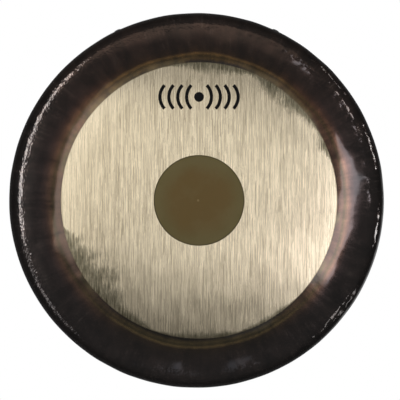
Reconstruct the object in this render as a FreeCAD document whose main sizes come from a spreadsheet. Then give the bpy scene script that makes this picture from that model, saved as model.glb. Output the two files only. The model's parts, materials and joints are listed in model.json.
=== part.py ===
"""A suspended tam-tam: a forged bronze disc with a turned-back rim, two grommets and a printed mark.

Millimetres. The gong hangs with its playing face towards -Y and its hanging holes at the top, +Z.
The origin is on the gong's axis, half way between the front of the face and the rim's free edge.
Left and right are as seen from in front of the playing face, so right is +X.
"""

import FreeCAD, Part
import math
import os

import Sketcher
from FreeCAD import Rotation, Vector

doc = FreeCAD.newDocument("tam_tam")

# ---------------------------------------------------------------- driving dimensions
DIMENSIONS = [
    # the disc, one sheet of bronze
    ("disc_diameter", 813.0, "over the widest part of the rim, a 32 inch gong"),
    ("overall_depth", 78.0, "front of the crown to the rim's free edge"),
    ("sheet_thickness", 1.7, "the disc's metal"),
    ("crown_radius", 5200.0, "spherical crown of the playing face"),
    ("face_diameter", 598.0, "where the crown ends and the shoulder begins"),
    ("shoulder_radius", 440.0, "fall of the shoulder between the face and the rim's bend"),
    ("bend_radius", 40.0, "outside radius of the rim's bend"),
    ("rim_lean", 6.0, "degrees that the rim leans in towards its free edge"),
    ("edge_rounding", 0.4, "filed corners of the free edge"),
    # the hanging holes and their rubber grommets
    ("hole_diameter", 10.0, "drilled hole in the rim"),
    ("hole_angle", 25.0, "degrees from the top of the gong to each hole"),
    ("hole_inset", 11.0, "hole centre to the free edge, along the rim"),
    ("grommet_bore", 7.0, "passage for the hanging cord"),
    ("grommet_diameter", 15.0, "flange on each side of the sheet"),
    ("grommet_flange", 2.2, "how far each flange stands off the sheet"),
    ("grommet_rounding", 0.9, "rounded lips of the flanges"),
    ("grommet_slack", 0.03, "gap between the grommet's neck and the drilled hole"),
    ("groove_slack", 0.2, "extra width of the groove, because the sheet in it is curved"),
    # the printed mark, a dot between rows of equal arcs
    ("mark_rise", 221.0, "mark's centre above the gong's axis"),
    ("mark_offset", 5.5, "mark's centre to the right of the gong's axis, over the ground face's own centre"),
    ("mark_height", 55.0, "height of each arc"),
    ("arc_radius", 40.0, "outside radius of each arc"),
    ("arc_stroke", 7.0, "printed width of each arc"),
    ("arc_first", 30.0, "mark's centre to the outside of the first arc"),
    ("arc_pitch", 19.0, "from one arc to the next"),
    ("dot_diameter", 21.0, "dot in the middle of the mark"),
    ("ink_thickness", 0.1, "printed layer of ink"),
]
ARCS_PER_SIDE = 4

sheet = doc.addObject("Spreadsheet::Sheet", "dims")
for row, (alias, number, meaning) in enumerate(DIMENSIONS, start=1):
    sheet.set(f"A{row}", alias)
    sheet.set(f"B{row}", str(number))
    sheet.set(f"C{row}", meaning)
    sheet.setAlias(f"B{row}", alias)
doc.recompute()


def size(alias):
    """A driving dimension as a plain number."""
    return float(sheet.get(alias))


# ---------------------------------------------------------------- sketching
START, END, CENTRE = 1, 2, 3  # the points of a sketch's line or arc
AXIS_X, AXIS_Y = -1, -2  # a sketch's own axes, which both START at its origin
SAME_LENGTH = 1e-4  # mm, the closest that two measured lengths are told apart


def origin_plane(body, role):
    """One of a body's own origin planes, such as XY_Plane."""
    return next(feature for feature in body.Origin.OriginFeatures if feature.Role == role)


def new_sketch(body, name, role):
    """A sketch lying on one of its body's origin planes."""
    sketch = body.newObject("Sketcher::SketchObject", name)
    sketch.AttachmentSupport = (origin_plane(body, role), [""])
    sketch.MapMode = "FlatFace"
    return sketch


def shape_by(sketch, *rules):
    """Adds constraints that have no size, each given as its kind and what it joins."""
    sketch.addConstraint([Sketcher.Constraint(*rule) for rule in rules])


def drive(sketch, kind, where, expression, start):
    """Adds a dimension that begins at start and then follows an expression of the driving dimensions."""
    index = sketch.addConstraint(Sketcher.Constraint(kind, *where, start))
    sketch.setExpression(f"Constraints[{index}]", expression)


def revolve(body, name, sketch):
    """Turns a sketch once round its vertical axis."""
    turned = body.newObject("PartDesign::Revolution", name)
    turned.Profile = sketch
    turned.ReferenceAxis = (sketch, ["V_Axis"])
    turned.Angle = 360.0
    doc.recompute()
    return turned


def edges_at(shape, level, low, length):
    """Names of a shape's flat edges at a level, where low and length name a box's sides along one axis."""
    return [
        f"Edge{number}"
        for number, edge in enumerate(shape.Edges, start=1)
        if abs(getattr(edge.BoundBox, low) - level) < SAME_LENGTH
        and getattr(edge.BoundBox, length) < SAME_LENGTH
    ]


# ---------------------------------------------------------------- the disc
def profile_start():
    """Points of the outer profile, with x the distance from the gong's axis and the front at -y."""
    reach, depth = size("disc_diameter") / 2, size("overall_depth")
    crown, shoulder, bend = size("crown_radius"), size("shoulder_radius"), size("bend_radius")
    lean = math.radians(size("rim_lean"))

    front = Vector(0, -depth / 2, 0)
    crown_centre = front + Vector(0, crown, 0)
    crown_slope = math.asin(size("face_diameter") / 2 / crown)
    outwards = Vector(math.sin(crown_slope), -math.cos(crown_slope), 0)
    face_edge = crown_centre + outwards * crown
    shoulder_centre = face_edge - outwards * shoulder

    across = reach - bend - shoulder_centre.x
    down = math.sqrt((shoulder - bend) ** 2 - across**2)
    bend_centre = shoulder_centre + Vector(across, -down, 0)
    bend_start = bend_centre + (bend_centre - shoulder_centre).normalize() * bend
    bend_end = bend_centre + Vector(math.cos(lean), math.sin(lean), 0) * bend
    rim_length = (depth / 2 - bend_end.y) / math.cos(lean)
    return {
        "front": front,
        "crown_centre": crown_centre,
        "face_edge": face_edge,
        "shoulder_centre": shoulder_centre,
        "bend_start": bend_start,
        "bend_centre": bend_centre,
        "bend_end": bend_end,
        "rim_end": bend_end + Vector(-math.sin(lean), math.cos(lean), 0) * rim_length,
        "back": Vector(0, depth / 2, 0),
    }


def arc_about(centre, start, end):
    """A counter-clockwise arc in a sketch's plane."""
    circle = Part.Circle(centre, Vector(0, 0, 1), (start - centre).Length)
    angles = [math.atan2(point.y - centre.y, point.x - centre.x) for point in (start, end)]
    return Part.ArcOfCircle(circle, *angles)


def draw_outer_profile(sketch):
    """Crown, shoulder, bend and rim, each tangent to the next, closed along the back and the axis."""
    at = profile_start()
    crown, shoulder, bend, rim, back, axis = range(6)
    sketch.addGeometry(
        [
            arc_about(at["crown_centre"], at["front"], at["face_edge"]),
            arc_about(at["shoulder_centre"], at["face_edge"], at["bend_start"]),
            arc_about(at["bend_centre"], at["bend_start"], at["bend_end"]),
            Part.LineSegment(at["bend_end"], at["rim_end"]),
            Part.LineSegment(at["rim_end"], at["back"]),
            Part.LineSegment(at["back"], at["front"]),
        ],
        False,
    )
    shape_by(
        sketch,
        ("Tangent", crown, END, shoulder, START),
        ("Tangent", shoulder, END, bend, START),
        ("Tangent", bend, END, rim, START),
        ("Coincident", rim, END, back, START),
        ("Coincident", back, END, axis, START),
        ("Coincident", axis, END, crown, START),
        ("Horizontal", back),
        ("PointOnObject", crown, CENTRE, AXIS_Y),
        ("PointOnObject", axis, START, AXIS_Y),
        ("Symmetric", axis, START, axis, END, AXIS_X, START),
    )
    origin = (AXIS_X, START)
    bend_reach = "dims.disc_diameter / 2 - dims.bend_radius"
    rim_angle = math.radians(90 + size("rim_lean"))
    drive(sketch, "Radius", (crown,), "dims.crown_radius", size("crown_radius"))
    drive(sketch, "Radius", (shoulder,), "dims.shoulder_radius", size("shoulder_radius"))
    drive(sketch, "Radius", (bend,), "dims.bend_radius", size("bend_radius"))
    drive(sketch, "DistanceX", (*origin, crown, END), "dims.face_diameter / 2", at["face_edge"].x)
    drive(sketch, "DistanceX", (*origin, bend, CENTRE), bend_reach, at["bend_centre"].x)
    drive(sketch, "Distance", (axis,), "dims.overall_depth", size("overall_depth"))
    drive(sketch, "Angle", (rim,), "(90 + dims.rim_lean) * 1 deg", rim_angle)

    # a measured length, not a driving one: the hanging holes are placed from it
    measured = sketch.addConstraint(
        Sketcher.Constraint("DistanceX", *origin, rim, END, at["rim_end"].x)
    )
    sketch.setDriving(measured, False)
    sketch.renameConstraint(measured, "edge_reach")


def hole_placement(side):
    """An expression for a hole's frame: on the rim's outer face, with its z axis pointing out of the hole.

    side is 1 for the right hole and -1 for the left one.
    """
    depth = "dims.overall_depth / 2 - dims.hole_inset * cos(dims.rim_lean)"
    reach = "outer_profile.Constraints.edge_reach / 1 mm + dims.hole_inset * sin(dims.rim_lean)"
    round_the_rim = f"placement(vector(0; 0; 0); rotation(vector(0; 1; 0); {side} * dims.hole_angle))"
    out_of_the_rim = f"placement(vector(0; {depth}; {reach}); rotation(vector(1; 0; 0); -dims.rim_lean))"
    return f"{round_the_rim} * {out_of_the_rim}"


def back_face_of(shape):
    """The name of a shape's only flat face, which closes it at the back."""
    flat = [face.Surface.TypeId == "Part::GeomPlane" for face in shape.Faces]
    return f"Face{flat.index(True) + 1}"


def make_disc():
    """One sheet: the profile turned about the axis, hollowed from behind, filed at its edge and drilled."""
    body = doc.addObject("PartDesign::Body", "gong_disc")
    outline = new_sketch(body, "outer_profile", "XY_Plane")
    draw_outer_profile(outline)
    doc.recompute()
    forged = revolve(body, "forged_form", outline)

    metal = body.newObject("PartDesign::Thickness", "sheet_metal")
    metal.Base = (forged, [back_face_of(forged.Shape)])
    metal.Reversed = True
    metal.setExpression("Value", "dims.sheet_thickness")
    doc.recompute()

    filed = body.newObject("PartDesign::Fillet", "filed_edge")
    filed.Base = (metal, edges_at(metal.Shape, size("overall_depth") / 2, "YMin", "YLength"))
    filed.setExpression("Radius", "dims.edge_rounding")
    doc.recompute()

    drill = new_sketch(body, "drill", "XY_Plane")
    drill.setExpression("AttachmentOffset", hole_placement(1))
    drill.addGeometry(Part.Circle(Vector(), Vector(0, 0, 1), size("hole_diameter") / 2), False)
    shape_by(drill, ("Coincident", 0, CENTRE, AXIS_X, START))
    drive(drill, "Diameter", (0,), "dims.hole_diameter", size("hole_diameter"))
    doc.recompute()
    hole = body.newObject("PartDesign::Pocket", "hanging_hole")
    hole.Profile = drill
    hole.Midplane = True
    hole.setExpression("Length", "dims.sheet_thickness * 4")
    doc.recompute()

    pair = body.newObject("PartDesign::Mirrored", "hanging_holes")
    pair.Originals = [hole]
    pair.MirrorPlane = (origin_plane(body, "YZ_Plane"), [""])
    body.Tip = pair
    doc.recompute()

    drilled_away = filed.Shape.Volume - pair.Shape.Volume
    expected = 2 * math.pi * (size("hole_diameter") / 2) ** 2 * size("sheet_thickness")
    if abs(drilled_away / expected - 1) > 0.01:
        raise RuntimeError(f"the two hanging holes took {drilled_away:.1f} mm3, not {expected:.1f} mm3")
    return body


# ---------------------------------------------------------------- the grommets
def make_grommet(name, side):
    """A rubber grommet snapped into a hanging hole: two flanges with the sheet in the groove between."""
    body = doc.addObject("PartDesign::Body", name)
    section = new_sketch(body, name + "_section", "XZ_Plane")
    bore, flange = size("grommet_bore") / 2, size("grommet_diameter") / 2
    neck = size("hole_diameter") / 2 - size("grommet_slack")
    inner_seat = -(size("sheet_thickness") + size("groove_slack"))
    outer_seat = size("grommet_slack")
    inner_end = inner_seat - size("grommet_flange")
    outer_end = outer_seat + size("grommet_flange")
    corners = [
        Vector(bore, inner_end, 0),
        Vector(flange, inner_end, 0),
        Vector(flange, inner_seat, 0),
        Vector(neck, inner_seat, 0),
        Vector(neck, outer_seat, 0),
        Vector(flange, outer_seat, 0),
        Vector(flange, outer_end, 0),
        Vector(bore, outer_end, 0),
    ]
    following = corners[1:] + corners[:1]
    section.addGeometry([Part.LineSegment(*pair) for pair in zip(corners, following)], False)
    inner_lip, inner_rim, inner_side, waist, outer_side, outer_rim, outer_lip, passage = range(8)
    shape_by(
        section,
        *[("Coincident", line, END, (line + 1) % len(corners), START) for line in range(len(corners))],
        *[("Horizontal", line) for line in (inner_lip, inner_side, outer_side, outer_lip)],
        *[("Vertical", line) for line in (inner_rim, waist, outer_rim, passage)],
        ("Equal", inner_rim, outer_rim),
        ("Vertical", inner_rim, END, outer_rim, START),
    )
    origin = (AXIS_X, START)
    neck_radius = "dims.hole_diameter / 2 - dims.grommet_slack"
    groove = "dims.sheet_thickness + dims.groove_slack"
    flange_height = size("grommet_flange")
    drive(section, "DistanceX", (*origin, inner_lip, START), "dims.grommet_bore / 2", bore)
    drive(section, "DistanceX", (*origin, inner_lip, END), "dims.grommet_diameter / 2", flange)
    drive(section, "DistanceX", (*origin, waist, START), neck_radius, neck)
    drive(section, "DistanceY", (inner_rim, START, inner_rim, END), "dims.grommet_flange", flange_height)
    drive(section, "DistanceY", (*origin, waist, END), "dims.grommet_slack", outer_seat)
    drive(section, "DistanceY", (waist, START, *origin), groove, -inner_seat)
    doc.recompute()
    turned = revolve(body, name + "_turned", section)

    rounded = body.newObject("PartDesign::Fillet", name + "_rounded")
    inner_edges = edges_at(turned.Shape, inner_end, "ZMin", "ZLength")
    outer_edges = edges_at(turned.Shape, outer_end, "ZMin", "ZLength")
    rounded.Base = (turned, inner_edges + outer_edges)
    rounded.setExpression("Radius", "dims.grommet_rounding")
    body.setExpression("Placement", hole_placement(side))
    doc.recompute()
    return body


# ---------------------------------------------------------------- the printed mark
def stamp_cylinder(name, radius, centre="0"):
    """A cylinder of the mark's flat outline, deep enough to pass through the face once it is stood up."""
    solid = doc.addObject("Part::Cylinder", name)
    solid.setExpression("Radius", radius)
    solid.setExpression("Height", "dims.overall_depth")
    solid.setExpression("Placement.Base.x", centre)
    return solid


def make_arc(number, side):
    """One arc of the mark, bulging away from the dot: a wedge of a cylinder with its core cut out.

    side is 1 for an arc to the right of the dot and -1 for one to its left.
    """
    name = f"arc_{number}_{'right' if side > 0 else 'left'}"
    centre = f"{side} * (dims.arc_first + dims.arc_pitch * {number} - dims.arc_radius)"
    half_span = "asin(dims.mark_height / 2 / dims.arc_radius)"
    facing = 0 if side > 0 else 180
    wedge = stamp_cylinder(name + "_wedge", "dims.arc_radius", centre)
    wedge.setExpression("Angle", f"2 * {half_span}")
    wedge.setExpression("Placement.Rotation.Angle", f"{facing} deg - {half_span}")
    core = stamp_cylinder(name + "_core", "dims.arc_radius - dims.arc_stroke", centre)
    arc = doc.addObject("Part::Cut", name)
    arc.Base = wedge
    arc.Tool = core
    return arc


def make_ink_skin():
    """The layer that ink on the crown fills: the gap between the crown's sphere and a slightly larger one."""
    balls = []
    for name, radius in (
        ("ink_front", "dims.crown_radius + dims.ink_thickness"),
        ("ink_back", "dims.crown_radius"),
    ):
        ball = doc.addObject("Part::Sphere", name)
        ball.setExpression("Radius", radius)
        ball.setExpression("Placement.Base.y", "dims.crown_radius - dims.overall_depth / 2")
        balls.append(ball)
    skin = doc.addObject("Part::Cut", "ink_skin")
    skin.Base, skin.Tool = balls
    return skin


def make_printed_mark():
    """Ink on the crown: the part of the ink's layer that lies inside the mark's outline."""
    arcs = [make_arc(number, side) for number in range(ARCS_PER_SIDE) for side in (-1, 1)]
    outline = doc.addObject("Part::Compound", "mark_outline")
    outline.Links = [stamp_cylinder("mark_dot", "dims.dot_diameter / 2"), *arcs]
    outline.Placement.Rotation = Rotation(Vector(1, 0, 0), 90)
    outline.setExpression("Placement.Base.x", "dims.mark_offset")
    outline.setExpression("Placement.Base.z", "dims.mark_rise")
    mark = doc.addObject("Part::Common", "printed_mark")
    mark.Base = outline
    mark.Tool = make_ink_skin()
    doc.recompute()
    return mark


# ---------------------------------------------------------------- build, check and write
def check(parts):
    """Stops if any object failed, or if a part isn't made of valid solids."""
    failed = [item.Name for item in doc.Objects if {"Invalid", "Error"} & set(item.State)]
    if failed:
        raise RuntimeError(f"these objects failed: {failed}")
    for part in parts:
        if part.Shape.isNull() or not part.Shape.isValid() or not part.Shape.Solids:
            raise RuntimeError(f"{part.Label} has no valid solid")


def main():
    """Builds every part, checks them all and only then writes them."""
    parts = [
        make_disc(),
        make_grommet("grommet_left", -1),
        make_grommet("grommet_right", 1),
        make_printed_mark(),
    ]
    doc.recompute()
    check(parts)
    os.makedirs("parts", exist_ok=True)
    for part in parts:
        part.Shape.exportStep(f"parts/{part.Label}.step")
        box = part.Shape.optimalBoundingBox(False, False)
        print(
            f"{part.Label}: {len(part.Shape.Solids)} solids, {part.Shape.Volume:.1f} mm3,"
            f" x {box.XMin:.2f} to {box.XMax:.2f}, y {box.YMin:.2f} to {box.YMax:.2f},"
            f" z {box.ZMin:.2f} to {box.ZMax:.2f}"
        )


main()
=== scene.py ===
"""The looks of a suspended tam-tam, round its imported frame. Metres; the playing face is towards -Y."""
import json
import math

import bmesh
import bpy
import numpy as np
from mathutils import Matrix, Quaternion, Vector


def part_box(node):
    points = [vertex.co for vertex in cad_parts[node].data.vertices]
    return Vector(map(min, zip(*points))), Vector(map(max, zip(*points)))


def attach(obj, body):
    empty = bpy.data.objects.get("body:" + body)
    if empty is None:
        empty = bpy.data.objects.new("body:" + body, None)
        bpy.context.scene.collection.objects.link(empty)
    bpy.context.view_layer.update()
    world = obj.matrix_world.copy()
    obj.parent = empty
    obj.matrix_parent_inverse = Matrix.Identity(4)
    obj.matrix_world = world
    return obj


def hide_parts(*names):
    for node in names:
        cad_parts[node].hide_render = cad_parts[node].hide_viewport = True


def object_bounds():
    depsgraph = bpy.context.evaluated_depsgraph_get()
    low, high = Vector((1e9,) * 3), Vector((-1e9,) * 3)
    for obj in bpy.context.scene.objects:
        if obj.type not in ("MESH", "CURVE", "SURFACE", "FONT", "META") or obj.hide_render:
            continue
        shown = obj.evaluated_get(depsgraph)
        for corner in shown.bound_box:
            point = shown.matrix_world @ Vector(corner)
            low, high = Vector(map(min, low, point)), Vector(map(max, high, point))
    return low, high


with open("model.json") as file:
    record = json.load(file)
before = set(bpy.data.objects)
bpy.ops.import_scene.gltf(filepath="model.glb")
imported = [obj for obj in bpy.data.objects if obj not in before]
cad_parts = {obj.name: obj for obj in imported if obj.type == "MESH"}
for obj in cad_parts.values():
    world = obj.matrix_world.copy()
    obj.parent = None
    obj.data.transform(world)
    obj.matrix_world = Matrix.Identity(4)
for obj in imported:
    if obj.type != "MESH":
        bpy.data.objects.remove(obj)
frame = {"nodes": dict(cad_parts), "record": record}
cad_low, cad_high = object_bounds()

# ---------------------------------------------------------------- sizes, as the disc was designed
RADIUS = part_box("gong_disc")[1].x
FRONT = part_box("gong_disc")[0].y
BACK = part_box("gong_disc")[1].y
SHEET = 0.0017
CROWN_RADIUS = 5.2
FACE_RADIUS = 0.299
SHOULDER_RADIUS = 0.44
BEND_RADIUS = 0.04
RIM_LEAN = math.radians(6)
EDGE_ROUNDING = 0.0004
HOLE_RADIUS = 0.005

MARK_LOW, MARK_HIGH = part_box("printed_mark")
OFF_AXIS = (MARK_LOW.x + MARK_HIGH.x) / 2  # the ground face is this far to the right of the gong's axis
GROUND_RADIUS = FACE_RADIUS - 0.0035  # grinding stopped just inside the crown's edge
SPOT_RADIUS = 0.238 * RADIUS  # the dark centre that was never ground
BEND_START = RADIUS - BEND_RADIUS

SEGMENTS = 640
FRONT_STEPS = (0.0130, 0.0042, 0.0033)  # longest steps along the crown, the shoulder and the bend
BACK_STEPS = (0.0060, 0.0058, 0.0048)

FACE, OXIDE, SPOT, INSIDE = range(4)  # the disc's material slots


def smoothstep(low, high, value):
    """0 at low, 1 at high and smooth between them. high may be less than low."""
    share = np.clip((value - low) / (high - low), 0, 1)
    return share * share * (3 - 2 * share)


# ---------------------------------------------------------------- the disc's profile
def arc_stations(centre, radius, tilts):
    """Points of an arc of the outer profile.

    Each is (distance from the axis, depth, tilt of the outward normal from -Y).
    """
    return [
        (centre[0] + radius * math.sin(tilt), centre[1] - radius * math.cos(tilt), tilt)
        for tilt in tilts
    ]


def spread(start, end, radius, step):
    """Tilts from start to end, not counting start, no more than step apart along an arc."""
    count = math.ceil(radius * (end - start) / step)
    return [start + (end - start) * k / count for k in range(1, count + 1)]


def outer_stations(steps):
    """The outer profile from near the face's centre to the free edge, and where spot and ground end."""
    crown_step, shoulder_step, bend_step = steps
    crown = (0.0, FRONT + CROWN_RADIUS)
    spot_tilt, ground_tilt, face_tilt = (
        math.asin(r / CROWN_RADIUS) for r in (SPOT_RADIUS, GROUND_RADIUS, FACE_RADIUS)
    )
    reach = CROWN_RADIUS - SHOULDER_RADIUS
    shoulder = (crown[0] + reach * math.sin(face_tilt), crown[1] - reach * math.cos(face_tilt))
    bend_x = RADIUS - BEND_RADIUS
    bend_tilt = math.asin((bend_x - shoulder[0]) / (SHOULDER_RADIUS - BEND_RADIUS))
    bend = (bend_x, shoulder[1] - (SHOULDER_RADIUS - BEND_RADIUS) * math.cos(bend_tilt))
    rim_tilt = math.pi / 2 + RIM_LEAN

    stations, ends = [], []
    for first, last in ((0, spot_tilt), (spot_tilt, ground_tilt), (ground_tilt, face_tilt)):
        stations += arc_stations(crown, CROWN_RADIUS, spread(first, last, CROWN_RADIUS, crown_step))
        ends.append(len(stations) - 1)
    stations += arc_stations(
        shoulder, SHOULDER_RADIUS, spread(face_tilt, bend_tilt, SHOULDER_RADIUS, shoulder_step)
    )
    stations += arc_stations(bend, BEND_RADIUS, spread(bend_tilt, rim_tilt, BEND_RADIUS, bend_step))
    start = stations[-1]
    length = (BACK - start[1]) / math.cos(RIM_LEAN) - EDGE_ROUNDING
    count = math.ceil(length / shoulder_step)
    for k in range(1, count + 1):
        along = length * k / count
        stations.append(
            (start[0] - along * math.sin(RIM_LEAN), start[1] + along * math.cos(RIM_LEAN), rim_tilt)
        )
    return np.array(stations), ends[0], ends[1]


# ---------------------------------------------------------------- hammering
FACE_SWELL = 0.00004  # height of the face's uneven waves, and of the shoulder's
SHOULDER_SWELL = 0.00013
HAMMER_PITCH = 0.014  # from one mark of the outer side to the next
HAMMER_BALL = 0.09  # radius of the hammer's round end
HAMMER_UNEVEN = 0.00012  # from the softest blow's depth to the hardest's
DENT_PITCH = 0.028  # from one dent of the inner side to the next
DENT_SIZE = 0.0094  # how far a dent spreads from its middle
DENT_DEPTH = 0.0012


def hammer_marks(turn, along, r, pitch, ball, seed, roughen):
    """Height of a surface planished by a round hammer, in rows of marks round the gong.

    Each mark is a shallow ball-shaped dish, and the surface at a point belongs to the deepest one there.
    turn is the angle round the gong, along the distance along the profile, ball the hammer's radius
    and roughen how much deeper the hardest blow went than the softest.
    """
    rows = math.ceil(along.max() / pitch) + 3
    row_radius = np.interp((np.arange(rows) - 0.5) * pitch, along[:, 0], r[:, 0])
    columns = np.maximum(5, np.round(2 * math.pi * row_radius / pitch)).astype(int)
    width = 2 * math.pi * row_radius / columns
    random = np.random.default_rng(seed)
    jitter = random.uniform(-0.42, 0.42, (rows, columns.max(), 2))
    strength = random.uniform(0, roughen, (rows, columns.max()))
    stagger = random.uniform(0, 1, rows)
    row_at = along / pitch + 1
    surface = np.full(along.shape, np.inf)
    for row_step in (-1, 0, 1):
        row = np.clip(np.floor(row_at).astype(int) + row_step, 0, rows - 1)
        column_at = turn / (2 * math.pi) * columns[row] - stagger[row]
        for column_step in (-1, 0, 1):
            column = np.floor(column_at).astype(int) + column_step
            wrapped = column % columns[row]
            away_turn = (column_at - column - 0.5 - jitter[row, wrapped, 0]) * width[row]
            away_along = (row_at - row - 0.5 - jitter[row, wrapped, 1]) * pitch
            dish = (away_turn**2 + away_along**2) / (2 * ball) - strength[row, wrapped]
            surface = np.minimum(surface, dish)
    return surface


def waves(x, z, lengths, seed):
    """A gentle uneven surface of height about 1, from a few crossing waves of the given lengths."""
    random = np.random.default_rng(seed)
    total = np.zeros(np.broadcast(x, z).shape)
    for length in lengths:
        for _ in range(5):
            heading, phase = random.uniform(0, 2 * math.pi, 2)
            total += np.sin((x * math.cos(heading) + z * math.sin(heading)) * 2 * math.pi / length + phase)
    return total / math.sqrt(2.5 * len(lengths))


def sheet_height(x, z):
    """How far the whole sheet is raised towards its front by uneven hammering."""
    r = np.hypot(x, z)
    calm = FACE_SWELL * waves(x, z, (0.05, 0.085), 3)
    shoulder = SHOULDER_SWELL * waves(x, z, (0.06, 0.095), 4)
    return calm + (shoulder - calm) * smoothstep(FACE_RADIUS, FACE_RADIUS + 0.04, r)


def front_height(turn, along, x, z):
    """Hammer marks on the outer side, faint on the shoulder and deepest on the right of the bend."""
    r = np.hypot(x, z)
    marks = hammer_marks(turn, along, r, HAMMER_PITCH, HAMMER_BALL, 11, HAMMER_UNEVEN)
    rightness = smoothstep(-0.5, 0.75, np.sin(turn))
    on_bend = smoothstep(BEND_START - 0.005, BEND_START + 0.014, r)
    share = 0.06 * smoothstep(FACE_RADIUS - 0.005, FACE_RADIUS + 0.03, r)
    share = share + (0.35 + 0.85 * rightness - share) * on_bend
    return marks * share * smoothstep(RADIUS - 0.0012, RADIUS - 0.008, r)


def dimples(x, z, pitch, size, seed):
    """Round, soft hammer dimples of depth 0 to 1, one in each square of a staggered grid."""
    random = np.random.default_rng(seed)
    cells = 2 * math.ceil(RADIUS / pitch) + 5
    jitter = random.uniform(-0.30, 0.30, (cells, cells, 2))
    strength = random.uniform(0.35, 1.0, (cells, cells))
    row_at = z / pitch + cells / 2
    total = np.zeros(x.shape)
    for row_step in (-1, 0, 1):
        row = np.clip(np.floor(row_at).astype(int) + row_step, 0, cells - 1)
        column_at = x / pitch + cells / 2 - 0.5 * (row % 2)
        for column_step in (-1, 0, 1):
            column = np.clip(np.floor(column_at).astype(int) + column_step, 0, cells - 1)
            away_x = (column_at - column - 0.5 - jitter[row, column, 0]) * pitch
            away_z = (row_at - row - 0.5 - jitter[row, column, 1]) * pitch
            dent = strength[row, column] * np.exp(-(away_x**2 + away_z**2) / (2 * size**2))
            total = np.maximum(total, dent)
    return total


def back_dents(x, z):
    """Relative depth of the hammer marks on the inner side, which end where the rim turns back."""
    struck = smoothstep(BEND_START + 0.012, BEND_START - 0.012, np.hypot(x, z))
    return dimples(x, z, DENT_PITCH, DENT_SIZE, 23) * struck


def back_height(_turn, _along, x, z):
    """How far the dents push the inner skin towards the front."""
    return DENT_DEPTH * back_dents(x, z)


def off_axis(r):
    """How far rings of a radius are moved to the right: the face's centre isn't the rim's."""
    return OFF_AXIS * (1 - smoothstep(FACE_RADIUS, BEND_START, r))


def ring_points(stations, depth_in, height, turns):
    """Points of each station's ring, depth_in under the outer surface and raised by height."""
    r, y, tilt = (stations[:, k, None] for k in range(3))
    normal_r, normal_y = np.sin(tilt), -np.cos(tilt)
    steps = np.hypot(np.diff(stations[:, 0], prepend=0), np.diff(stations[:, 1], prepend=FRONT))
    along = np.broadcast_to(np.cumsum(steps)[:, None], (len(stations), len(turns)))
    turn = np.broadcast_to(turns, along.shape)
    flat_r = r - depth_in * normal_r
    x, z = flat_r * np.sin(turn) + off_axis(r), flat_r * np.cos(turn)
    raised = height(turn, along, x, z) + sheet_height(x, z)
    reach = flat_r + raised * normal_r
    return np.stack(
        [
            reach * np.sin(turn) + off_axis(r),
            y - depth_in * normal_y + raised * normal_y,
            reach * np.cos(turn),
        ],
        axis=-1,
    )


def mesh_object(name, vertices, faces, slots=None):
    """A smooth-shaded object from plain lists."""
    mesh = bpy.data.meshes.new(name)
    mesh.from_pydata([tuple(v) for v in vertices], [], [tuple(f) for f in faces])
    mesh.update()
    mesh.shade_smooth()
    if slots is not None:
        mesh.polygons.foreach_set("material_index", slots)
    made = bpy.data.objects.new(name, mesh)
    bpy.context.scene.collection.objects.link(made)
    return made


def edge_rings(stations, outer, inner):
    """Three rings that round the free edge from its outer corner to its inner one."""
    tilt = stations[-1, 2]
    onward = np.array([-abs(math.cos(tilt)), math.sin(tilt)])
    rings = []
    # each ring's share of the way across the sheet, and its share of the rounding
    for across, out in ((0.12, 0.75), (0.5, 1.0), (0.88, 0.75)):
        ring = outer[-1] + (inner[-1] - outer[-1]) * across
        radial = ring[:, [0, 2]] / np.linalg.norm(ring[:, [0, 2]], axis=1, keepdims=True)
        step = EDGE_ROUNDING * out
        depth = np.full(len(ring), onward[1] * step)
        rounding = [radial[:, 0] * onward[0] * step, depth, radial[:, 1] * onward[0] * step]
        rings.append(ring + np.stack(rounding, axis=-1))
    return rings


def make_disc():
    """The whole sheet as one closed skin: out along the front, round the free edge and back inside."""
    stations, spot_end, ground_end = outer_stations(FRONT_STEPS)
    inside_stations = outer_stations(BACK_STEPS)[0]
    turns = np.linspace(0, 2 * math.pi, SEGMENTS, endpoint=False)
    outer = ring_points(stations, 0.0, front_height, turns)
    inner = ring_points(inside_stations, SHEET, back_height, turns)
    rings = [*outer, *edge_rings(stations, outer, inner), *inner[::-1]]
    vertices = np.concatenate(rings)
    poles = [
        (OFF_AXIS, outer[0][:, 1].mean(), 0.0),
        (OFF_AXIS, inner[0][:, 1].mean(), 0.0),
    ]
    vertices = np.concatenate([vertices, poles])
    front_pole, back_pole = len(vertices) - 2, len(vertices) - 1

    faces, slots = [], []
    following = (np.arange(SEGMENTS) + 1) % SEGMENTS
    for k in range(len(rings) - 1):
        this, onward = k * SEGMENTS, (k + 1) * SEGMENTS
        faces += [
            (this + n, this + following[n], onward + following[n], onward + n) for n in range(SEGMENTS)
        ]
        slot = SPOT if k < spot_end else FACE if k < ground_end else OXIDE if k < len(stations) else INSIDE
        slots += [slot] * SEGMENTS
    last = (len(rings) - 1) * SEGMENTS
    faces += [(front_pole, following[n], n) for n in range(SEGMENTS)]
    faces += [(back_pole, last + n, last + following[n]) for n in range(SEGMENTS)]
    slots += [SPOT] * SEGMENTS + [INSIDE] * SEGMENTS
    disc = mesh_object("hammered_disc", vertices, faces, slots)
    for material in (face_material(), oxide_material(), spot_material(), inside_material()):
        disc.data.materials.append(material)

    work = bmesh.new()
    work.from_mesh(disc.data)
    bmesh.ops.recalc_face_normals(work, faces=work.faces)
    work.to_mesh(disc.data)
    work.free()
    drill_holes(disc)
    return disc


def hole_line(node):
    """Centre and direction of a hanging hole, from the mount of the grommet in it."""
    name = node.replace("grommet", "hanging_hole")
    mount = next(m for m in frame["record"]["mounts"] if m["name"] == name)
    return Vector(mount["pos_m"]), Vector(mount["axis"])


DRILL_LENGTH = 0.02
DRILL_SIDES = 48


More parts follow.
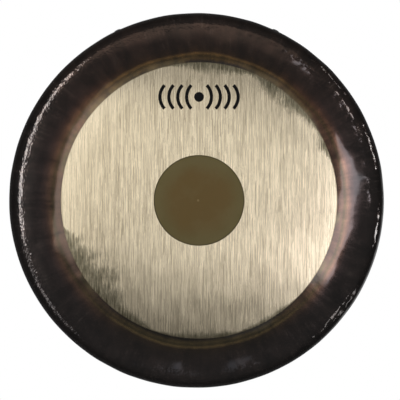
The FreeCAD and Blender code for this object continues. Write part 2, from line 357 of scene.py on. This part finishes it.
def drill_holes(disc):
    """Cuts the two hanging holes through the sheet."""
    for node in ("grommet_left", "grommet_right"):
        centre, axis = hole_line(node)
        work = bmesh.new()
        bmesh.ops.create_cone(
            work,
            cap_ends=True,
            segments=DRILL_SIDES,
            radius1=HOLE_RADIUS,
            radius2=HOLE_RADIUS,
            depth=DRILL_LENGTH,
        )
        drill = bpy.data.meshes.new("drill")
        work.to_mesh(drill)
        work.free()
        tool = bpy.data.objects.new("drill", drill)
        bpy.context.scene.collection.objects.link(tool)
        tool.rotation_mode = "QUATERNION"
        tool.rotation_quaternion = axis.to_track_quat("Z", "Y")
        tool.location = centre
        cut = disc.modifiers.new("hanging_hole", "BOOLEAN")
        cut.operation = "DIFFERENCE"
        cut.solver = "EXACT"
        cut.object = tool
        bpy.context.view_layer.update()
        drilled = bpy.data.meshes.new_from_object(
            disc.evaluated_get(bpy.context.evaluated_depsgraph_get())
        )
        disc.modifiers.clear()
        disc.data = drilled
        bpy.data.objects.remove(tool)


# ---------------------------------------------------------------- the printed mark
INK_SWELL = 1.6  # the ink is drawn this much thicker than it was designed,
INK_SINK = 0.00004  # and sunk this far, so that its underside stays inside the uneven face


def make_mark():
    """The printed mark, laid on the uneven surface of the face."""
    cad = frame["nodes"]["printed_mark"]
    mark = cad.copy()
    mark.data = cad.data.copy()
    mark.name = "ink_mark"
    bpy.context.scene.collection.objects.link(mark)
    work = bmesh.new()
    work.from_mesh(mark.data)
    bmesh.ops.remove_doubles(work, verts=work.verts, dist=1e-6)
    for vertex in work.verts:
        x, z = vertex.co.x, vertex.co.z
        crown = FRONT + CROWN_RADIUS - math.sqrt(CROWN_RADIUS**2 - x * x - z * z)
        moved = FRONT + CROWN_RADIUS - math.sqrt(CROWN_RADIUS**2 - (x - OFF_AXIS) ** 2 - z * z)
        layer = (crown - vertex.co.y) * INK_SWELL - INK_SINK
        vertex.co.y = moved - float(sheet_height(np.float64(x), np.float64(z))) - layer
    work.to_mesh(mark.data)
    work.free()
    return mark


# ---------------------------------------------------------------- materials
class Graph:
    """Short words for the nodes of one tree."""

    def __init__(self, tree):
        self.tree = tree

    def node(self, kind, inputs=None, **settings):
        """Adds a node. inputs maps a socket's name or number to a value or to another node's output."""
        made = self.tree.nodes.new(kind)
        for key, value in settings.items():
            setattr(made, key, value)
        for socket, value in (inputs or {}).items():
            self.feed(made.inputs[socket], value)
        return made

    def feed(self, socket, value):
        if isinstance(value, bpy.types.NodeSocket):
            self.tree.links.new(value, socket)
        else:
            socket.default_value = value

    def math(self, operation, a, b=0.0, c=0.0):
        return self.node("ShaderNodeMath", {0: a, 1: b, 2: c}, operation=operation).outputs[0]

    def rise(self, value, low, high):
        """0 at low, 1 at high, smooth between them. high may be less than low."""
        made = self.node("ShaderNodeMapRange", {0: value, 1: low, 2: high}, interpolation_type="SMOOTHSTEP")
        return made.outputs[0]

    def span(self, value, start, end):
        """A number that goes from start to end as value goes from 0 to 1."""
        return self.node("ShaderNodeMapRange", {0: value, 3: start, 4: end}).outputs[0]

    def mix(self, share, a, b, how="MIX"):
        """Mixes two colours. Inputs 6 and 7 and output 2 are the Mix node's sockets for colour."""
        made = self.node("ShaderNodeMix", data_type="RGBA", blend_type=how)
        for socket, value in ((0, share), (6, a), (7, b)):
            if isinstance(value, tuple):
                value = (*value, 1.0)
            self.feed(made.inputs[socket], value)
        return made.outputs[2]

    def noise(self, at, scale, detail=2.0, rough=0.5, seed=0.0):
        """Smooth noise of 0 to 1, different for each seed."""
        made = self.node(
            "ShaderNodeTexNoise",
            {"Vector": at, "W": seed, "Scale": scale, "Detail": detail, "Roughness": rough},
            noise_dimensions="4D",
        )
        return made.outputs[0]

    def stretch(self, at, x, y, z):
        """Scales a place by a number for each axis."""
        return self.node("ShaderNodeVectorMath", {0: at, 1: (x, y, z)}, operation="MULTIPLY").outputs[0]

    def ramp(self, value, stops):
        """A colour for each value, from (value, colour) stops in order."""
        made = self.node("ShaderNodeValToRGB", {0: value})
        elements = made.color_ramp.elements
        while len(elements) < len(stops):
            elements.new(0.5)
        for element, (at, colour) in zip(elements, stops):
            element.position = at
            element.color = (*colour, 1.0)
        return made.outputs[0]

    def bump(self, height, distance, strength=1.0, onto=None):
        inputs = {"Height": height, "Distance": distance, "Strength": strength}
        if onto is not None:
            inputs["Normal"] = onto
        return self.node("ShaderNodeBump", inputs).outputs[0]


class Material(Graph):
    """A new material of one Principled shader, its nodes and its place on the gong."""

    def __init__(self, name):
        self.made = bpy.data.materials.new(name)
        self.made.use_nodes = True
        super().__init__(self.made.node_tree)
        self.shader = self.tree.nodes["Principled BSDF"]
        self.at = self.node("ShaderNodeTexCoord").outputs["Object"]

    def set(self, **values):
        """Sets the shader's sockets, each named with underscores for spaces."""
        for name, value in values.items():
            self.feed(self.shader.inputs[name.replace("_", " ")], value)

    def find_place(self):
        """Works out distance and direction from the middle of the ground face."""
        parts = self.node("ShaderNodeSeparateXYZ", {0: self.at}).outputs
        plain = self.length(parts[0], parts[2])
        shift = self.span(self.rise(plain, FACE_RADIUS, BEND_START), OFF_AXIS, 0.0)
        x = self.math("SUBTRACT", parts[0], shift)
        self.at_x, self.at_z = x, parts[2]
        self.r = self.length(x, parts[2])
        self.right = self.math("DIVIDE", x, self.math("MAXIMUM", self.r, 0.001))
        self.up = self.math("DIVIDE", parts[2], self.math("MAXIMUM", self.r, 0.001))
        self.turn = self.math("DEGREES", self.math("ARCTAN2", x, parts[2]))

    def length(self, a, b):
        return self.math("SQRT", self.math("ADD", self.math("MULTIPLY", a, a), self.math("MULTIPLY", b, b)))

    def streaks(self, around, outward, seed):
        """Noise drawn out along the gong's radius: around is how many to a turn, outward to a metre."""
        parts = {
            0: self.math("MULTIPLY", self.right, around / math.tau),
            1: self.math("MULTIPLY", self.up, around / math.tau),
            2: self.math("MULTIPLY", self.r, outward),
        }
        vector = self.node("ShaderNodeCombineXYZ", parts).outputs[0]
        return self.noise(vector, 1.0, 3.0, 0.55, seed)

    def scratches(self, across, along):
        """A shade of 0 to 1 for each straight vertical scratch.

        There are across of them to a metre, and each is cut along times to a metre.
        """
        column = self.math("FLOOR", self.math("MULTIPLY", self.at_x, across))
        start = self.node("ShaderNodeTexWhiteNoise", {"W": column}, noise_dimensions="1D").outputs[0]
        piece = self.math("MULTIPLY_ADD", self.at_z, along, self.math("MULTIPLY", start, 9.0))
        cell = self.node("ShaderNodeCombineXYZ", {0: column, 1: self.math("FLOOR", piece)}).outputs[0]
        return self.node("ShaderNodeTexWhiteNoise", {"Vector": cell}, noise_dimensions="2D").outputs[0]

    def near_turn(self, middle, half):
        """1 at a direction in degrees clockwise from the top, and 0 further than half from it."""
        away = self.math("ABSOLUTE", self.math("SUBTRACT", self.turn, float((middle + 180) % 360 - 180)))
        away = self.math("MINIMUM", away, self.math("SUBTRACT", 360.0, away))
        return self.rise(away, float(half), 0.0)


CREAM = (0.88, 0.765, 0.555)
CREAM_DARK = (0.33, 0.275, 0.185)
SMUDGE = (0.26, 0.235, 0.16)  # oxide that the strokes thinned, and oxide that they missed
SMUDGE_DARK = (0.105, 0.090, 0.052)
EDGE_LINE = (0.12, 0.085, 0.045)

# where oxide was left on the edge of the face: degrees clockwise from the top, half width, reach inwards
REMAINS = [
    (6, 24, 0.018),
    (40, 26, 0.023),
    (66, 10, 0.013),
    (150, 20, 0.008),
    (180, 24, 0.015),
    (212, 18, 0.016),
    (233, 28, 0.056),
    (252, 8, 0.028),
]
# painted highlights, where the edge of the face is made lighter as if it reflected the lights at the sides:
# degrees clockwise from the top, half width, how much
PAINTED_EDGE_HIGHLIGHTS = [(292, 74, 0.24), (78, 50, 0.10), (148, 24, 0.12)]


def remains_mask(g):
    """How much oxide is left at each place of the ground face: soft patches that end in brushed teeth."""
    reach = 0.0
    for middle, half, depth in REMAINS:
        reach = g.math("MAXIMUM", reach, g.math("MULTIPLY", g.near_turn(middle, half), depth))
    teeth = g.noise(g.stretch(g.at, 300.0, 1.0, 32.0), 1.0, 3.0, 0.65, 4.0)
    clumps = g.noise(g.at, 42.0, 3.0, 0.6, 16.0)
    ragged = g.math("MULTIPLY_ADD", teeth, 0.6, g.math("MULTIPLY", clumps, 0.4))
    inwards = g.math("SUBTRACT", GROUND_RADIUS, g.r)
    allowed = g.math("MULTIPLY", reach, g.span(g.rise(ragged, 0.30, 0.70), 0.35, 1.9))
    share = g.math("DIVIDE", inwards, g.math("MAXIMUM", allowed, 0.0006))
    return g.math("MULTIPLY", g.rise(share, 1.4, 0.25), g.span(g.rise(ragged, 0.35, 0.62), 0.60, 1.0))


def face_material():
    """Bronze ground to a cream shine by vertical strokes, with smudges of oxide left at its edge and
    painted highlights on parts of its edge.
    """
    g = Material("ground_bronze")
    g.find_place()
    hair = g.noise(g.stretch(g.at, 560.0, 1.0, 34.0), 1.0, 2.0, 0.6, 1.0)
    short, long = g.scratches(830.0, 30.0), g.scratches(455.0, 8.0)
    clouds = g.noise(g.at, 20.0, 4.0, 0.6, 3.0)
    strokes = g.math("MULTIPLY_ADD", short, 0.26, g.math("MULTIPLY", hair, 0.46))
    strokes = g.math("MULTIPLY_ADD", long, 0.18, strokes)
    tone = g.math("MULTIPLY_ADD", clouds, 0.20, g.math("SUBTRACT", strokes, 0.10))
    # painted highlight: the face's colour is made lighter near its edge at the listed directions, standing
    # in for reflected light
    painted_highlight = 0.0
    for middle, half, strength in PAINTED_EDGE_HIGHLIGHTS:
        painted_highlight = g.math("MAXIMUM", painted_highlight, g.math("MULTIPLY", g.near_turn(middle, half), strength))
    painted_highlight = g.math("MULTIPLY", painted_highlight, g.rise(g.r, GROUND_RADIUS - 0.055, GROUND_RADIUS - 0.008))
    tone = g.math("ADD", painted_highlight, tone)
    colour = g.mix(g.rise(tone, 0.01, 0.87), CREAM_DARK, CREAM)
    colour = g.mix(remains_mask(g), colour, g.mix(g.rise(hair, 0.4, 0.62), SMUDGE_DARK, SMUDGE))
    line = g.rise(g.r, GROUND_RADIUS - 0.0028, GROUND_RADIUS - 0.0002)
    colour = g.mix(g.math("MULTIPLY", line, 0.35), colour, EDGE_LINE)
    tangent = g.node("ShaderNodeTangent", direction_type="UV_MAP", uv_map="brush").outputs[0]
    g.set(
        Base_Color=colour,
        Metallic=1.0,
        Roughness=g.math("MULTIPLY_ADD", hair, 0.12, 0.15),
        Anisotropic=0.75,
        Tangent=tangent,
        Normal=g.bump(hair, 0.00006, 0.6),
    )
    return g.made


SPOT_BROWN = (0.122, 0.081, 0.030)
SPOT_OLIVE = (0.124, 0.103, 0.045)
SPOT_GRAIN = (0.10, 0.075, 0.032)
SPOT_PATCH = (0.150, 0.116, 0.054)
SPOT_LINE = (0.035, 0.028, 0.012)
SPOT_SPECK = (0.30, 0.24, 0.13)


def spot_material():
    """The dark olive-brown centre, which kept its oxide."""
    g = Material("unground_bronze")
    g.find_place()
    clouds = g.noise(g.at, 18.0, 3.0, 0.55, 5.0)
    grain = g.noise(g.at, 240.0, 2.0, 0.5, 6.0)
    reach = g.math("MULTIPLY_ADD", g.math("SUBTRACT", clouds, 0.5), 0.05, g.r)
    colour = g.mix(g.rise(reach, SPOT_RADIUS * 0.5, SPOT_RADIUS), SPOT_BROWN, SPOT_OLIVE)
    colour = g.mix(g.span(grain, 0.0, 0.35), colour, SPOT_GRAIN)
    colour = g.mix(g.math("MULTIPLY", g.rise(clouds, 0.44, 0.62), 0.28), colour, SPOT_PATCH)
    ring = g.rise(g.r, SPOT_RADIUS - 0.0032, SPOT_RADIUS - 0.0008)
    colour = g.mix(g.math("MULTIPLY", ring, 0.75), colour, SPOT_LINE)
    speck = g.rise(g.length(g.math("SUBTRACT", g.at_x, -0.002), g.at_z), 0.0034, 0.0012)
    colour = g.mix(g.math("MULTIPLY", speck, 0.45), colour, SPOT_SPECK)
    g.set(
        Base_Color=colour,
        Metallic=0.9,
        Roughness=g.math("MULTIPLY_ADD", clouds, 0.10, 0.36),
        Normal=g.bump(grain, 0.00004, 0.4),
    )
    return g.made


OXIDE_DARK = (0.030, 0.023, 0.021)
OXIDE_OLIVE = (0.085, 0.075, 0.035)
OXIDE_FROST = (0.17, 0.135, 0.12)
# a factor on the colour for each strength of the oxide's patches, and one for the redder top of the rim
PATCH_SHADES = [(0.34, (0.42, 0.42, 0.42)), (0.66, (2.0, 1.85, 1.8))]
REDDER = (1.30, 1.04, 0.86)
# the tints that heat left outside the ground face, by share of the way from its edge to the rim:
# broad and coppery at the sides, thin and olive at the top and the bottom
SIDE_TINTS = [
    (0.000, (0.050, 0.031, 0.021)),
    (0.035, (0.078, 0.046, 0.030)),
    (0.110, (0.090, 0.054, 0.037)),
    (0.160, (0.070, 0.052, 0.026)),
    (0.230, (0.130, 0.076, 0.049)),
    (0.310, (0.070, 0.044, 0.036)),
    (0.400, (0.042, 0.031, 0.029)),
    (0.560, OXIDE_DARK),
    (1.000, (0.024, 0.019, 0.017)),
]
END_TINTS = [
    (0.000, (0.006, 0.004, 0.002)),
    (0.030, (0.020, 0.014, 0.006)),
    (0.085, (0.070, 0.052, 0.020)),
    (0.130, (0.045, 0.035, 0.013)),
    (0.170, (0.130, 0.092, 0.036)),
    (0.215, (0.032, 0.021, 0.012)),
    (0.330, (0.024, 0.017, 0.013)),
    (0.600, OXIDE_DARK),
    (1.000, (0.024, 0.019, 0.017)),
]


def oxide_material():
    """Glossy black-brown oxide, with the rings that heat left round the ground face."""
    g = Material("oxide_bronze")
    g.find_place()
    wobble = g.noise(g.at, 11.0, 3.0, 0.5, 7.0)
    clouds = g.noise(g.at, 38.0, 4.0, 0.6, 22.0)
    fine = g.noise(g.at, 270.0, 0.6, 0.5, 8.0)
    lumps = g.noise(g.at, 75.0, 1.0, 0.5, 17.0)
    thin = g.streaks(520, 16.0, 9.0)
    broad = g.streaks(85, 7.0, 10.0)
    ring = g.math("MULTIPLY_ADD", g.math("SUBTRACT", wobble, 0.5), 0.010, g.r)
    ring = g.math("MULTIPLY_ADD", g.math("SUBTRACT", thin, 0.5), 0.004, ring)
    t = g.math("DIVIDE", g.math("SUBTRACT", ring, GROUND_RADIUS - 0.001), RADIUS - GROUND_RADIUS)
    t = g.math("MAXIMUM", t, 0.0)
    sideways = g.rise(g.math("ABSOLUTE", g.right), 0.45, 0.92)
    colour = g.mix(sideways, g.ramp(t, END_TINTS), g.ramp(t, SIDE_TINTS))
    olive = g.math("MULTIPLY", g.rise(wobble, 0.52, 0.62), g.rise(t, 0.13, 0.07))
    colour = g.mix(g.math("MULTIPLY", olive, 0.7), colour, OXIDE_OLIVE)
    red = g.mix(1.0, colour, REDDER, "MULTIPLY")
    colour = g.mix(g.math("MULTIPLY", g.rise(g.up, 0.0, 0.9), 0.8), colour, red)
    patchy = g.math("MULTIPLY_ADD", broad, 0.45, g.math("MULTIPLY", thin, 0.15))
    patchy = g.math("MULTIPLY_ADD", clouds, 0.40, patchy)
    colour = g.mix(1.0, colour, g.ramp(patchy, PATCH_SHADES), "MULTIPLY")
    frost = g.math("MULTIPLY", g.rise(thin, 0.50, 0.75), g.rise(clouds, 0.48, 0.64))
    frost = g.math("MULTIPLY", frost, g.rise(g.r, GROUND_RADIUS + 0.02, BEND_START - 0.01))
    colour = g.mix(g.math("MULTIPLY", frost, 0.55), colour, OXIDE_FROST)
    on_bend = g.rise(g.r, BEND_START - 0.006, BEND_START + 0.010)
    ragged = g.math("MULTIPLY", on_bend, g.span(g.rise(g.right, -0.3, 0.4), 1.0, 0.2))
    beaten = g.bump(lumps, 0.0007, g.span(on_bend, 0.04, 0.8))
    beaten = g.bump(fine, 0.00060, g.span(ragged, 0.012, 1.0), beaten)
    beaten = g.bump(thin, 0.00004, 0.15, beaten)
    g.set(
        Base_Color=colour,
        Metallic=0.93,
        Roughness=g.math("MULTIPLY_ADD", thin, 0.12, 0.08),
        Coat_Weight=1.0,
        Coat_Roughness=0.06,
        Coat_Normal=beaten,
        Normal=beaten,
    )
    return g.made


INSIDE_BROWN = (0.105, 0.070, 0.045)
INSIDE_TAN = (0.185, 0.125, 0.074)
INSIDE_MOTTLE = (0.27, 0.185, 0.11)
INSIDE_RIM_DARK = (0.050, 0.039, 0.034)
INSIDE_RIM = (0.105, 0.082, 0.068)
UNSTRUCK, STRUCK = (0.78, 0.78, 0.79), (1.34, 1.31, 1.26)  # factors on the colour between dents and in them


def inside_material():
    """The duller oxide of the hollow side, mottled by hammering and heat."""
    g = Material("inner_oxide")
    g.find_place()
    clouds = g.noise(g.at, 9.0, 4.0, 0.55, 18.0)
    mottle = g.noise(g.at, 55.0, 3.0, 0.6, 19.0)
    fine = g.noise(g.at, 260.0, 3.0, 0.6, 20.0)
    colour = g.mix(g.rise(clouds, 0.3, 0.7), INSIDE_BROWN, INSIDE_TAN)
    colour = g.mix(g.math("MULTIPLY", g.rise(mottle, 0.46, 0.72), 0.4), colour, INSIDE_MOTTLE)
    outward = g.rise(g.math("MULTIPLY_ADD", g.math("SUBTRACT", clouds, 0.5), 0.05, g.r), 0.27, 0.34)
    colour = g.mix(outward, colour, g.mix(mottle, INSIDE_RIM_DARK, INSIDE_RIM))
    dent = g.node("ShaderNodeAttribute", attribute_name="dent").outputs["Fac"]
    struck = g.rise(g.math("MULTIPLY_ADD", g.math("SUBTRACT", mottle, 0.5), 0.35, dent), 0.10, 0.62)
    colour = g.mix(1.0, colour, g.mix(struck, UNSTRUCK, STRUCK), "MULTIPLY")
    g.set(
        Base_Color=colour,
        Metallic=0.4,
        Roughness=g.math("MULTIPLY_ADD", struck, -0.12, g.math("MULTIPLY_ADD", mottle, 0.12, 0.32)),
        Normal=g.bump(fine, 0.00010, 0.6),
    )
    return g.made


def ink_material():
    """Screen-printed black ink, a little uneven."""
    g = Material("printed_ink")
    grain = g.noise(g.at, 900.0, 2.0, 0.5, 12.0)
    cloud = g.noise(g.at, 60.0, 2.0, 0.5, 13.0)
    g.set(
        Base_Color=g.mix(cloud, (0.0015, 0.0015, 0.0015), (0.004, 0.0038, 0.0035)),
        Roughness=g.math("MULTIPLY_ADD", grain, 0.2, 0.48),
        Specular_IOR_Level=0.08,
        Normal=g.bump(grain, 0.00002, 0.4),
    )
    return g.made


def rubber_material():
    """Matt black rubber with a dusty bloom."""
    g = Material("grommet_rubber")
    bloom = g.noise(g.at, 260.0, 3.0, 0.6, 14.0)
    grain = g.noise(g.at, 2600.0, 2.0, 0.5, 15.0)
    g.set(
        Base_Color=g.mix(bloom, (0.008, 0.008, 0.008), (0.030, 0.029, 0.028)),
        Roughness=g.math("MULTIPLY_ADD", bloom, 0.25, 0.55),
        Normal=g.bump(grain, 0.00008, 0.5),
    )
    return g.made


def vertex_places(disc):
    """Where each of the disc's vertices is, one to a row."""
    places = np.empty(len(disc.data.vertices) * 3)
    disc.data.vertices.foreach_get("co", places)
    return places.reshape(-1, 3)


def brush_direction(disc):
    """A UV map whose first direction runs across the face's vertical grinding strokes."""
    layer = disc.data.uv_layers.new(name="brush")
    places = vertex_places(disc)
    corners = np.empty(len(disc.data.loops), int)
    disc.data.loops.foreach_get("vertex_index", corners)
    layer.data.foreach_set("uv", places[corners][:, [0, 2]].ravel())


def dent_depth(disc):
    """An attribute with the depth of the inner side's hammer marks, for its oxide to follow."""
    places = vertex_places(disc)
    dent = disc.data.attributes.new("dent", "FLOAT", "POINT")
    dent.data.foreach_set("value", back_dents(places[:, 0], places[:, 2]))


# ---------------------------------------------------------------- the studio
PANEL_DISTANCE = 3.6


def panel(
    name, azimuth, elevation, wide, high, radiance, colour=(1, 1, 1), soft=0.3, roll=0, seen_by=("glossy",)
):
    """A rectangular light facing the gong, with edges that fade over a share soft of its half width.

    Its middle and its size are in degrees as seen from the gong: azimuth 0 is in front, 90 to the right.
    roll leans its top outwards, away from azimuth 0, in degrees. A negative roll leans it inwards.
    """
    data = bpy.data.lights.new(name, "AREA")
    data.shape = "RECTANGLE"
    data.size = 2 * PANEL_DISTANCE * math.tan(math.radians(wide / 2))
    data.size_y = 2 * PANEL_DISTANCE * math.tan(math.radians(high / 2))
    data.energy = radiance * data.size * data.size_y * math.pi
    data.color = colour
    data.use_nodes = True
    g = Graph(data.node_tree)
    parametric = g.node("ShaderNodeNewGeometry").outputs["Parametric"]
    across = g.node("ShaderNodeSeparateXYZ", {0: parametric}).outputs
    level = 1.0
    for share in (across[0], across[1]):
        to_edge = g.math("SUBTRACT", 0.5, g.math("ABSOLUTE", g.math("SUBTRACT", share, 0.5)))
        level = g.math("MULTIPLY", level, g.rise(to_edge, 0.0, soft / 2))
    g.feed(g.tree.nodes["Emission"].inputs["Strength"], level)
    light = bpy.data.objects.new(name, data)
    bpy.context.scene.collection.objects.link(light)
    turn, rise = math.radians(azimuth), math.radians(elevation)
    towards = Vector((math.sin(turn) * math.cos(rise), -math.cos(turn) * math.cos(rise), math.sin(rise)))
    light.location = towards * PANEL_DISTANCE
    light.rotation_mode = "QUATERNION"
    leaning = Quaternion(towards, math.radians(roll) * math.copysign(1, -azimuth))
    light.rotation_quaternion = leaning @ towards.to_track_quat("Z", "Y")
    light.visible_camera = False
    light.visible_glossy = "glossy" in seen_by
    light.visible_diffuse = "diffuse" in seen_by


ROOM_BEHIND, ROOM_IN_FRONT = 0.07, 0.23  # the dim room's light behind the gong and in front of it


def make_world():
    """White to the camera, and a dim room to everything else."""
    world = bpy.data.worlds.new("studio")
    world.use_nodes = True
    g = Graph(world.node_tree)
    g.tree.nodes.clear()
    direction = g.node("ShaderNodeTexCoord").outputs["Generated"]
    depth = g.node("ShaderNodeSeparateXYZ", {0: direction}).outputs[1]
    level = g.span(g.rise(depth, 0.3, -0.9), ROOM_BEHIND, ROOM_IN_FRONT)
    room = g.node("ShaderNodeBackground", {1: level}).outputs[0]
    white = g.node("ShaderNodeBackground", {0: (1, 1, 1, 1), 1: 1.0}).outputs[0]
    camera = g.node("ShaderNodeLightPath").outputs["Is Camera Ray"]
    mix = g.node("ShaderNodeMixShader", {0: camera, 1: room, 2: white}).outputs[0]
    g.node("ShaderNodeOutputWorld", {0: mix})
    bpy.context.scene.world = world


FLOOR_GAP = 0.16  # under the hanging gong
FLOOR_REACH = 1.2  # from the middle to each side
FLOOR_COLOUR = (0.50, 0.497, 0.49, 1.0)


def make_stage():
    """A matt pale floor under the gong, which fades with distance into the white round it."""
    floor_z = cad_low.z - FLOOR_GAP
    corners = [(x * FLOOR_REACH, y * FLOOR_REACH) for x, y in ((-1, -1), (1, -1), (1, 1), (-1, 1))]
    floor = mesh_object("floor", [(x, y, floor_z) for x, y in corners], [range(len(corners))])
    g = Material("floor")
    g.set(Base_Color=FLOOR_COLOUR, Roughness=0.9, Specular_IOR_Level=0.1)
    middle = (0, 0, floor_z)
    away = g.node("ShaderNodeVectorMath", {0: g.at, 1: middle}, operation="DISTANCE").outputs["Value"]
    clear = g.node("ShaderNodeBsdfTransparent").outputs[0]
    mix = g.node("ShaderNodeMixShader", {0: g.rise(away, 0.5, 1.0), 1: g.shader.outputs[0], 2: clear})
    g.feed(g.tree.nodes["Material Output"].inputs[0], mix.outputs[0])
    floor.data.materials.append(g.made)
    floor.visible_glossy = False
    floor.visible_shadow = False


def make_lights():
    """Soft panels round the gong. Those seen only in reflections make its highlights, one by one."""
    # a window on the right, across the shoulder
    panel("window_right", 22.6, -1.5, 11.6, 24, 2.8, (0.95, 0.93, 1.0), soft=0.1, roll=34)
    panel("window_upper", 35, 17, 5, 4.5, 2.6, (0.95, 0.93, 1.0), soft=0.3)
    panel("window_top", 23.3, 27.7, 3, 3, 2.4, (0.95, 0.93, 1.0), soft=0.3)
    # what the brushed face reflects
    panel("panel_right", 11, 5.5, 8, 13, 0.75, soft=0.5)
    panel("panel_left", -14.5, 3, 8, 25, 1.4, (1.0, 0.97, 0.92), soft=0.4, roll=-16)
    panel("panel_front", 0, 2, 28, 34, 0.82, soft=0.55)
    panel("panel_low_right", 6, -13, 10, 10, 0.25, soft=0.7)
    # the long bright line on the bend's left, and the short ones on its right
    panel("fill_left", -40, 5, 28, 70, 0.22, (1.0, 0.92, 0.86), soft=0.8)
    panel("strip_left", -48, 13, 11, 52, 9.5, soft=0.3)
    panel("strip_left_low", -60, -28, 8, 26, 3.0, soft=0.6)
    for elevation, radiance in ((42, 2.5), (17, 9.0), (-9, 9.0), (-34, 2.0)):
        panel("dot_right", 88, elevation, 8, 8, radiance)
    panel("spot_right_high", 48, 24, 14, 5, 5.0)
    panel("spot_right_low", 58, -36, 7, 9, 3.0)
    # faint glows at the bottom and the top of the rim
    panel("low_glow", -5, -34, 5, 9, 0.6, (0.85, 0.88, 1.0), soft=0.8)
    panel("low_glow_right", 9, -33, 4, 8, 0.5, (0.85, 0.88, 1.0), soft=0.8)
    panel("top_glow", -10, 42, 84, 30, 0.50, (1.0, 0.78, 0.62), soft=0.8)
    # light on matt surfaces
    panel("wash", -14, 14, 32, 32, 13.1, soft=0.4, seen_by=("diffuse",))
    panel("ceiling", 20, 75, 60, 60, 4.0, soft=0.5, seen_by=("diffuse",))
    # the gong's back
    panel("rear_panel", 142, -12, 44, 50, 0.30, soft=0.8)
    panel("rear_wash", 250, 22, 30, 30, 32.0, soft=0.5, seen_by=("diffuse",))
    panel("rear_fill", 190, 40, 40, 40, 2.5, soft=0.5, seen_by=("diffuse",))


LENS = 135  # mm
FILL = 0.942  # the gong's share of the frame's width
AIM_RIGHT, AIM_UP = 0.0185 * RADIUS, 0.0022 * RADIUS  # the camera's place, from the gong's axis


def make_camera():
    """A long lens straight in front of the gong, which sits a little to the left of the frame's centre."""
    data = bpy.data.cameras.new("camera")
    data.lens = LENS
    camera = bpy.data.objects.new("camera", data)
    bpy.context.scene.collection.objects.link(camera)
    half_width = data.sensor_width / 2 / data.lens
    distance = RADIUS / (FILL * half_width)
    camera.location = (AIM_RIGHT, -distance, AIM_UP)
    camera.rotation_euler = (math.pi / 2, 0, 0)
    bpy.context.scene.camera = camera


# ---------------------------------------------------------------- putting it together
bpy.context.scene.view_settings.view_transform = "Standard"
make_camera()
make_world()
make_stage()
make_lights()

disc = make_disc()
brush_direction(disc)
dent_depth(disc)
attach(disc, "root")
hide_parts("gong_disc")

mark = make_mark()
mark.data.materials.clear()
mark.data.materials.append(ink_material())
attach(mark, "root")
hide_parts("printed_mark")

rubber = rubber_material()
for node in ("grommet_left", "grommet_right"):
    for slot in frame["nodes"][node].material_slots:
        slot.material = rubber
